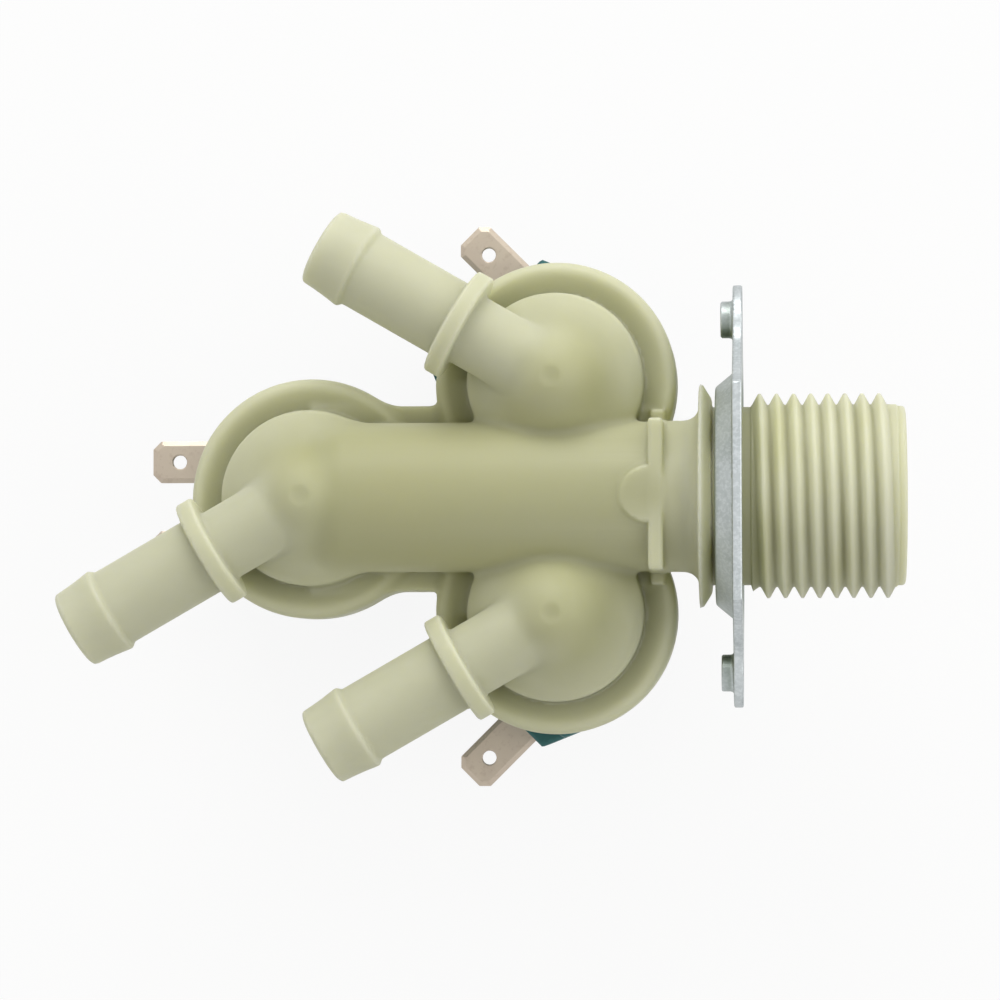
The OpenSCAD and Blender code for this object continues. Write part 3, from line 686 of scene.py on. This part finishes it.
def plateSeats(p, form, soft):
    # the flange under the plate, and the four lugs that the plate snaps over
    x, r = cylindrical(p, (0, 0, 0), (1, 0, 0))
    run, fall = form["flangeFace"] - form["flangeCrest"], form["flangeR"] - form["faceR"]
    cone = ((x - form["flangeCrest"]) * fall + (r - form["flangeR"]) * run) / math.hypot(run, fall)
    flange = np.maximum(form["flangeBack"] - x, x - form["flangeFace"])
    flange = carve(carve(flange, r - form["flangeR"], soft["flange"]), cone, soft["flange"])
    diagonal = 0.7071
    u, v = (p[:, 1] + p[:, 2]) * diagonal, (p[:, 1] - p[:, 2]) * diagonal
    sector = np.minimum(np.abs(u), np.abs(v)) - form["lugHalf"]
    lean = (form["lugR"] - form["neckR"]) / (form["lugEnd"] - form["lugX"])
    lug = np.maximum(form["lugX"] - x, r - form["lugR"] + lean * (x - form["lugX"]))
    return flange, carve(np.maximum(lug, x - form["lugEnd"]), sector, soft["lug"])


def slab(p, back, front, half, top, soft):
    return block(p, (back, -half, bodyForm["bottom"]), (front, half, top), soft)


def bodyField(p):
    form, soft = bodyForm, bodyForm["soft"]
    ahead, up = (1, 0, 0), (0, 0, 1)
    main = rod(p, (form["manifoldEnd"], 0, 0), ahead, form["ribX"] - form["manifoldEnd"] + form["intoRib"],
               form["manifoldR"], form["manifoldRound"])
    main = np.minimum(main, rod(p, (form["plainFrom"], 0, 0), ahead, form["plainLen"], form["manifoldR"]))
    ledges = [("pairEdge", "pairFront", "pairHalf"), ("endEdge", "endFront", "ledgeHalf"),
              ("pairFront", "footFront", "footHalf")]
    base = [slab(p, *[form[key] for key in keys], form["ledgeZ"], soft["ledge"]) for keys in ledges]
    main = melt(main, np.minimum.reduce(base), soft["base"])
    outlets = []
    for side in sides:
        centre = chamberAxis(side)
        main = melt(main, chamberField(p, form, soft, centre), soft["chamber"])
        outlets.append(outletField(p, form, soft, centre, form["turn"][side]))
    for tail, x, r in outlets:
        main = melt(main, tail, soft["outlet"])
    ribFront = form["ribX"] + form["ribT"]
    rib = slab(p, form["ribX"], ribFront, form["manifoldR"], form["ribTop"], soft["rib"])
    foot = slab(p, form["ribX"], ribFront, form["footHalf"], form["footTop"], soft["foot"])
    pad = rod(p, (form["ribX"], 0, 0), up, form["ribTop"] - form["padUnder"], form["padR"], soft["pad"])
    pad = carve(pad, p[:, 0] - form["ribX"] - form["padFront"], soft["padFace"])
    main = melt(main, np.minimum(np.minimum(rib, foot), pad), soft["ribFoot"])
    main = np.maximum(main, form["skirt"] - p[:, 2])
    neck = rod(p, (form["ribX"], 0, 0), ahead, form["flangeFace"] - form["ribX"],
               form["manifoldR"] + form["neckStep"])
    flange, lugs = plateSeats(p, form, soft)
    collar = rod(p, (form["flangeBack"], 0, 0), ahead, form["lugEnd"] - form["flangeBack"], form["neckR"])
    main = melt(main, melt(neck, flange, soft["neck"]), soft["neckFoot"])
    main = np.minimum(np.minimum(main, collar), lugs)
    for side, (tail, x, r) in zip(sides, outlets):
        top = chamberAxis(side) + [0, 0, form["outletZ"] + form["elbowR"] + form["gateUp"]]
        main = carve(main, -ball(p, top, form["gateR"]), soft["gate"])
        main = carve(main, -roundCorner(r - form["boreR"], -x, soft["mouth"]), soft["mouthEdge"])
    inlet = rod(p, (form["inletFrom"], 0, 0), ahead, form["inletLen"], form["inletBoreR"])
    main = carve(main, -inlet, soft["hollow"])
    gallery = rod(p, (-form["galleryLen"], 0, 0), ahead, form["galleryLen"], form["manifoldBoreR"])
    for side in sides:
        stemR = np.hypot(*(p - chamberAxis(side))[:, :2].T)
        gallery = np.maximum(gallery, form["seatR"] - stemR)
        main = carve(main, -hollowField(p, form, chamberAxis(side)), soft["hollow"])
    return carve(main, -gallery, soft["hollow"])


def underRoofs(p):
    # the parts in the inlet, the diaphragms, coils and frames let no light through
    form = bodyForm
    dark = (p[:, 0] > form["strainerFrom"]) & (np.hypot(p[:, 1], p[:, 2]) < form["inletBoreR"])
    for side in sides:
        away = p - chamberAxis(side)
        dark |= (np.hypot(away[:, 0], away[:, 1]) < form["pocketR"]) & (away[:, 2] < form["pocketZ"])
    return dark


body = skin("valveBody", bodyField, bodyForm, underRoofs)
dress(body, "valve", "nylon", "valve_body")
print("nylon body skinned")


# Inlet spigot with its thread, as one helix

spigotForm = {
    "neckR": 11.6, "rootR": 11.85, "crestR": 13.3, "plainR": 11.65, "len": 21.0,
    "pitch": 2.21, "firstCrest": 2.15, "crests": 8, "crestFlat": 0.16, "rootFlat": 0.12,
    "lead": 0.9, "edge": 0.25, "fadeRate": 3, "fadeIn": 0.62, "fadeOut": 0.1,
    "boreR": 8.5, "recessR": 9.5, "recess": 3.0, "lip": 0.5, "recessLip": 0.3,
    "back": -4.9, "boreEnd": -8.0, "tuck": 1,
    "around": 180, "perTurn": 16, "sharpOver": 38, "calm": 0.65,
}


def threadRise(x, turn):
    form = spigotForm
    phase = (x - form["firstCrest"]) / form["pitch"] - turn
    away = np.abs(phase - np.round(phase)) * 2
    rise = np.clip((1 - form["rootFlat"] - away) / (1 - form["rootFlat"] - form["crestFlat"]), 0, 1)
    count = np.round(phase) + turn
    fadeIn = np.clip((count + form["fadeIn"]) * form["fadeRate"], 0, 1)
    fadeOut = np.clip((form["crests"] - form["fadeOut"] - count) * form["fadeRate"], 0, 1)
    return rise * fadeIn * fadeOut


def spigotWall(p):
    r = np.hypot(p[:, 1], p[:, 2])
    return (r > spigotForm["boreR"]) & (r < spigotForm["rootR"]) & (p[:, 0] < spigotForm["len"])


strainerEnd = boxOf("inlet_filter")[1][0]


def strainerCup(p):
    # the cup, the plate and the valve behind them
    r = np.hypot(p[:, 1], p[:, 2])
    return np.where(r < spigotForm["boreR"], p[:, 0] < strainerEnd, p[:, 0] < 0)


def calm(mesh, points, where):
    # lets the thread's flanks catch the light more evenly, as a clear nylon does
    corners = np.array([n.vector for n in mesh.corner_normals])
    owner = np.empty(len(mesh.loops), np.int32)
    mesh.loops.foreach_get("vertex_index", owner)
    outward = points[owner] * [0, 1, 1]
    outward /= np.linalg.norm(outward, axis=1)[:, None]
    share = where[owner][:, None] * spigotForm["calm"]
    mesh.normals_split_custom_set((corners * (1 - share) + outward * share).tolist())


def makeSpigot():
    form = spigotForm
    threadFrom = form["firstCrest"] - form["lead"]
    threadTo = form["firstCrest"] + form["crests"] * form["pitch"]
    steps = int((threadTo - threadFrom) / form["pitch"] * form["perTurn"])
    recess, lip, inner = form["len"] - form["recess"], form["lip"], form["recessLip"]
    outline = [(form["back"], form["neckR"]), (threadFrom - form["edge"], form["neckR"])]
    outline += [(x, form["rootR"]) for x in np.linspace(threadFrom, threadTo, steps)]
    outline += [(threadTo + form["edge"], form["plainR"])]
    outline += arcPoints(form["len"] - lip, form["plainR"] - lip, lip, 90, 0, 4)
    outline += arcPoints(form["len"] - inner, form["recessR"] + inner, inner, 0, -90, 3)
    outline += [(recess, form["recessR"]), (recess, form["boreR"]), (form["boreEnd"], form["boreR"]),
                (form["boreEnd"], form["boreR"] + form["tuck"]), (form["back"], form["boreR"] + form["tuck"])]
    turn = np.arange(form["around"]) / form["around"]
    angle = turn * 2 * math.pi
    rows = []
    for x, r in outline:
        if threadFrom <= x <= threadTo and r == form["rootR"]:
            r = r + threadRise(x, turn) * (form["crestR"] - form["rootR"])
        rows.append(np.column_stack([np.full(form["around"], x), r * np.cos(angle), r * np.sin(angle)]))
    obj = swept("inletSpigot", rows, form["sharpOver"])
    points = np.vstack(rows)
    hair = 0.01
    onThread = (points[:, 0] >= threadFrom) & (points[:, 0] <= threadTo)
    onThread &= np.hypot(points[:, 1], points[:, 2]) > form["rootR"] - hair
    calm(obj.data, points, onThread)
    normals = np.array([v.normal for v in obj.data.vertices])
    shine(obj, points, normals, spigotWall, strainerCup)
    return obj


dress(makeSpigot(), "valve", "nylon", "valve_body")
print("spigot turned")


# Pressed mounting plate

plateForm = {
    "len": 55.0, "width": 34.0, "t": 1.25, "earR": 6.0, "earSoft": 2.0, "flatHalf": 13.8, "shoulder": 20.4,
    "edgeSoft": 0.25, "pitch": 46.0, "holeR": 1.7, "holeSoft": 0.3,
    "bushR": 2.4, "bushH": 1.6, "bushIn": 0.3, "bushSoft": 0.2, "bushFoot": 0.5,
    "dishR": 16.1, "dishBottomR": 14.3, "holeRim": 13.5, "depth": 2.3,
    "topBend": 0.35, "bottomBend": 0.45, "rimIn": 0.35, "reach": 60,
    "low": (-4.3, -28, -17.6), "high": (0.6, 28, 17.6), "step": 0.3,
}


def plateField(p):
    form = plateForm
    y, z = np.abs(p[:, 1]), p[:, 2]
    x, r = cylindrical(p, (0, 0, 0), (1, 0, 0))
    half = form["t"] / 2
    bottom = -half - form["depth"]
    bend = [(form["holeRim"] + form["rimIn"], bottom), (form["dishBottomR"] - form["bottomBend"], bottom),
            (form["dishR"] - form["topBend"], -half), (form["reach"], -half)]
    sheet = np.full(len(x), np.inf)
    for (ra, xa), (rb, xb) in zip(bend, bend[1:]):
        er, ex = rb - ra, xb - xa
        t = np.clip(((r - ra) * er + (x - xa) * ex) / (er * er + ex * ex), 0, 1)
        sheet = np.minimum(sheet, np.hypot(r - ra - er * t, x - xa - ex * t))
    sheet -= half
    outline = plan(y, np.abs(z), [
        (overMiddle, overMiddle), (form["shoulder"], overMiddle), (form["shoulder"], form["earR"]),
        (form["flatHalf"], form["width"] / 2), (overMiddle, form["width"] / 2)])
    ear = np.hypot(y - (form["len"] / 2 - form["earR"]), z) - form["earR"]
    outline = melt(outline, ear, form["earSoft"])
    sheet = carve(sheet, outline, form["edgeSoft"])
    sheet = np.maximum(sheet, form["holeRim"] - r)
    screwR = np.hypot(y - form["pitch"] / 2, z)
    bush = np.abs(x + form["t"] + form["bushH"] / 2 - form["bushIn"]) - form["bushH"] / 2 - form["bushIn"]
    bush = roundCorner(bush, screwR - form["bushR"], form["bushSoft"])
    sheet = melt(sheet, bush, form["bushFoot"])
    return carve(sheet, form["holeR"] - screwR, form["holeSoft"])


plate = skin("mountingPlate", plateField, plateForm)
dress(plate, "valve", "zinc_plate", "mounting_plate")
print("plate pressed")


# Coils, frames and terminals; each is drawn with its terminals towards +X

coilForm = {
    "r": 12.8, "back": 8.85, "backSoft": 0.3, "face": 14.6, "faceHalf": 10.6, "faceSoft": 0.5, "taper": 5.2,
    "relief": 3.5, "reliefIn": 1.2, "reliefSoft": 0.5, "bottom": -37.6, "top": -15.6, "round": 0.7,
    "socketIn": 0.5, "socketGap": 0.5, "socketHalf": 0.95, "socketSoft": 0.25, "boreR": 8.2, "boreSoft": 0.2,
    "low": (-13.6, -13.6, -38.4), "high": (15.4, 13.6, -14.8), "step": 0.45,
    "turn": {"end": 180, "right": 135, "left": 225},
}
yokeForm = {
    "back": 10.4, "front": 9.5, "half": 10.9, "t": 1.5, "bend": 1.6, "corner": 4.0, "reach": 20,
    "edgeSoft": 0.3, "holeR": 4.9, "holeSoft": 0.25, "bottom": -39.1, "top": -14.1,
    "low": (-11.2, -11.7, -39.9), "high": (10.3, 11.7, -13.3), "step": 0.4,
}
tabForm = {
    "half": 3.15, "t": 0.8, "reach": 25.3, "pitch": 12.4, "z": -30.0, "cut": 1.3, "root": 11.7,
    "edgeSoft": 0.12, "bevel": (0.45, 0.25), "bevelSlant": (0.5, 0.87), "hole": 0.95, "holeIn": 4,
    "holeSoft": 0.15, "low": (11.2, -10, -30.8), "high": (25.8, 10, -29.2), "step": 0.2,
}


def coilField(p):
    form = coilForm
    x, y, z = p.T
    taperX = form["face"] - form["taper"]
    behind = 2 * overMiddle
    head = plan(x, np.abs(y), [
        (behind, overMiddle), (form["face"], overMiddle), (form["face"], form["faceHalf"]),
        (taperX, form["r"]), (behind, form["r"])])
    outline = melt(np.hypot(x, y) - form["r"], head, form["faceSoft"])
    middle, half = (form["top"] + form["bottom"]) / 2, (form["top"] - form["bottom"]) / 2
    jacket = roundCorner(outline, np.abs(z - middle) - half, form["round"])
    jacket = carve(jacket, -x - form["back"], form["backSoft"])
    relief = np.maximum(form["r"] - form["reliefIn"] - x, form["top"] - form["relief"] - z)
    jacket = carve(jacket, -relief, form["reliefSoft"])
    socket = np.abs(np.abs(y) - tabForm["pitch"] / 2) - tabForm["half"] - form["socketGap"]
    socket = np.maximum(socket, np.abs(z - tabForm["z"]) - form["socketHalf"])
    socket = np.maximum(socket, form["face"] - form["socketIn"] - x)
    jacket = carve(jacket, -socket, form["socketSoft"])
    return carve(jacket, form["boreR"] - np.hypot(x, y), form["boreSoft"])


def yokeField(p):
    form = yokeForm
    x, y, z = p.T
    half = form["t"] / 2
    middle, tall = (form["top"] + form["bottom"]) / 2, (form["top"] - form["bottom"]) / 2
    loop = roundCorner(np.abs(x - form["reach"]) - (form["reach"] + form["back"] - half),
                       np.abs(z - middle) - tall + half, form["bend"] - half)
    strip = np.abs(loop) - half
    corner = roundCorner(x - form["front"], np.abs(y) - form["half"], form["corner"])
    square = np.maximum(-x - form["back"], np.abs(y) - form["half"])
    outline = np.where(x > 0, corner, square)
    strip = carve(strip, outline, form["edgeSoft"])
    return carve(strip, form["holeR"] - np.hypot(x, y), form["holeSoft"])


def tabField(p):
    form = tabForm
    x, y, z = p.T
    side = np.abs(np.abs(y) - form["pitch"] / 2)
    shape = plan(x, side, [
        (form["root"], overMiddle), (form["reach"], overMiddle), (form["reach"], form["half"] - form["cut"]),
        (form["reach"] - form["cut"], form["half"]), (form["root"], form["half"])])
    flat = np.abs(z - form["z"]) - form["t"] / 2
    (inward, down), (fall, run) = form["bevel"], form["bevelSlant"]
    bevel = (shape + inward) * fall + (flat + down) * run
    tab = np.maximum(carve(shape, flat, form["edgeSoft"]), bevel)
    hole = np.hypot(x - form["reach"] + form["holeIn"], side) - form["hole"]
    return carve(tab, -hole, form["holeSoft"])


coilParts = [
    ("jacket", "coil", "coil_plastic", skin("jacket", coilField, coilForm)),
    ("frame", "yoke", "frame_steel", skin("frame", yokeField, yokeForm)),
    ("tabs", "terminals", "tinned_tab", skin("tabs", tabField, tabForm)),
]
for part, node, slot, first in coilParts:
    for side in sides:
        turn = Matrix.Rotation(math.radians(coilForm["turn"][side]), 4, "Z")
        place = Matrix.Translation(Vector(chamberAxis(side) * mm)) @ turn
        piece = placed(first, "coil_%s_%s" % (side, part), place)
        dress(piece, "valve", slot, "%s_%s" % (node, side))
    bpy.data.objects.remove(first)
print("coils dressed")


# Plunger springs: the helix as drawn in the CAD

springForm = {"seat": -37.5}

for side in sides:
    node, slide = "plunger_spring_" + side, "plunger_slide_" + side
    travel = next(j for j in frame["joints"] if j["name"] == slide)["range_m"][1] / mm
    tall = boxOf(node)[1][2] - springForm["seat"]
    foot = chamberAxis(side) + [0, 0, springForm["seat"]]
    piece = placed(frame["nodes"][node], "spring_" + side, Matrix.Identity(4))
    piece.data.materials.clear()
    dress(piece, "valve", "spring_steel", node)
    tuple(foot * mm)
    1 - travel / tall
    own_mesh(piece)
print("springs seated")


# Stage, camera and light

stageLook = {"floor": rgb(244, 244, 242), "roughness": 0.9, "size": 3.0, "white": 0.9}
cameraLook = {"place": (4.5, -21.8, 542.7), "turn": (2.25, 3.82, -0.08), "lens": 150.0, "sensor": 36,
              "nearest": 10}
lightLook = {"sky": 0.52, "aim": (-33, 0, 0),
             "key": 3.0, "keyPlace": (-90, 700, 400), "keySize": 0.5,
             "fill": 1.7, "fillPlace": (540, 120, 360), "fillSize": 0.7}


def makeFloor():
    low = cadBox[0][2]
    mesh = bpy.data.meshes.new("floor")
    s = stageLook["size"]
    mesh.from_pydata([(-s, -s, low), (s, -s, low), (s, s, low), (-s, s, low)], [], [(0, 1, 2, 3)])
    obj = addObject("floor", mesh)
    paint = Paint("floorPaper")
    paint.shade(Base_Color=stageLook["floor"], Roughness=stageLook["roughness"])
    white = paint.node("ShaderNodeEmission", None, {"Strength": 1.0})
    paper = Wire(paint, paint.shader.outputs[0])
    share = paint.backdropRay() * stageLook["white"]
    seen = paint.node("ShaderNodeMixShader", None, {0: share, 1: paper, 2: white})
    end = next(n for n in paint.tree.nodes if n.type == "OUTPUT_MATERIAL")
    paint.plug(end.inputs["Surface"], seen)
    mesh.materials.append(paint.finish)


def makeWorld():
    paint = Paint("paleRoom", bpy.data.worlds)
    white = paint.backdropRay()
    paint.shade(Color=(1, 1, 1, 1), Strength=white + (1 - white) * lightLook["sky"])
    bpy.context.scene.world = paint.finish


def addLamp(name):
    look = lightLook
    data = bpy.data.lights.new(name, "AREA")
    data.size, data.energy = look[name + "Size"], look[name]
    obj = addObject(name, data)
    obj.location = Vector(look[name + "Place"]) * mm
    aim = Vector(look["aim"]) * mm - obj.location
    obj.rotation_euler = aim.to_track_quat("-Z", "Y").to_euler()


def addCamera():
    look = cameraLook
    data = bpy.data.cameras.new("camera")
    data.lens, data.sensor_width = look["lens"], look["sensor"]
    data.clip_start = look["nearest"] * mm
    obj = addObject("camera", data)
    obj.location = Vector(look["place"]) * mm
    obj.rotation_euler = [math.radians(a) for a in look["turn"]]
    bpy.context.scene.camera = obj


makeFloor()
makeWorld()
addLamp("key")
addLamp("fill")
addCamera()
bpy.context.scene.view_settings.view_transform = "Standard"
print("stage set")
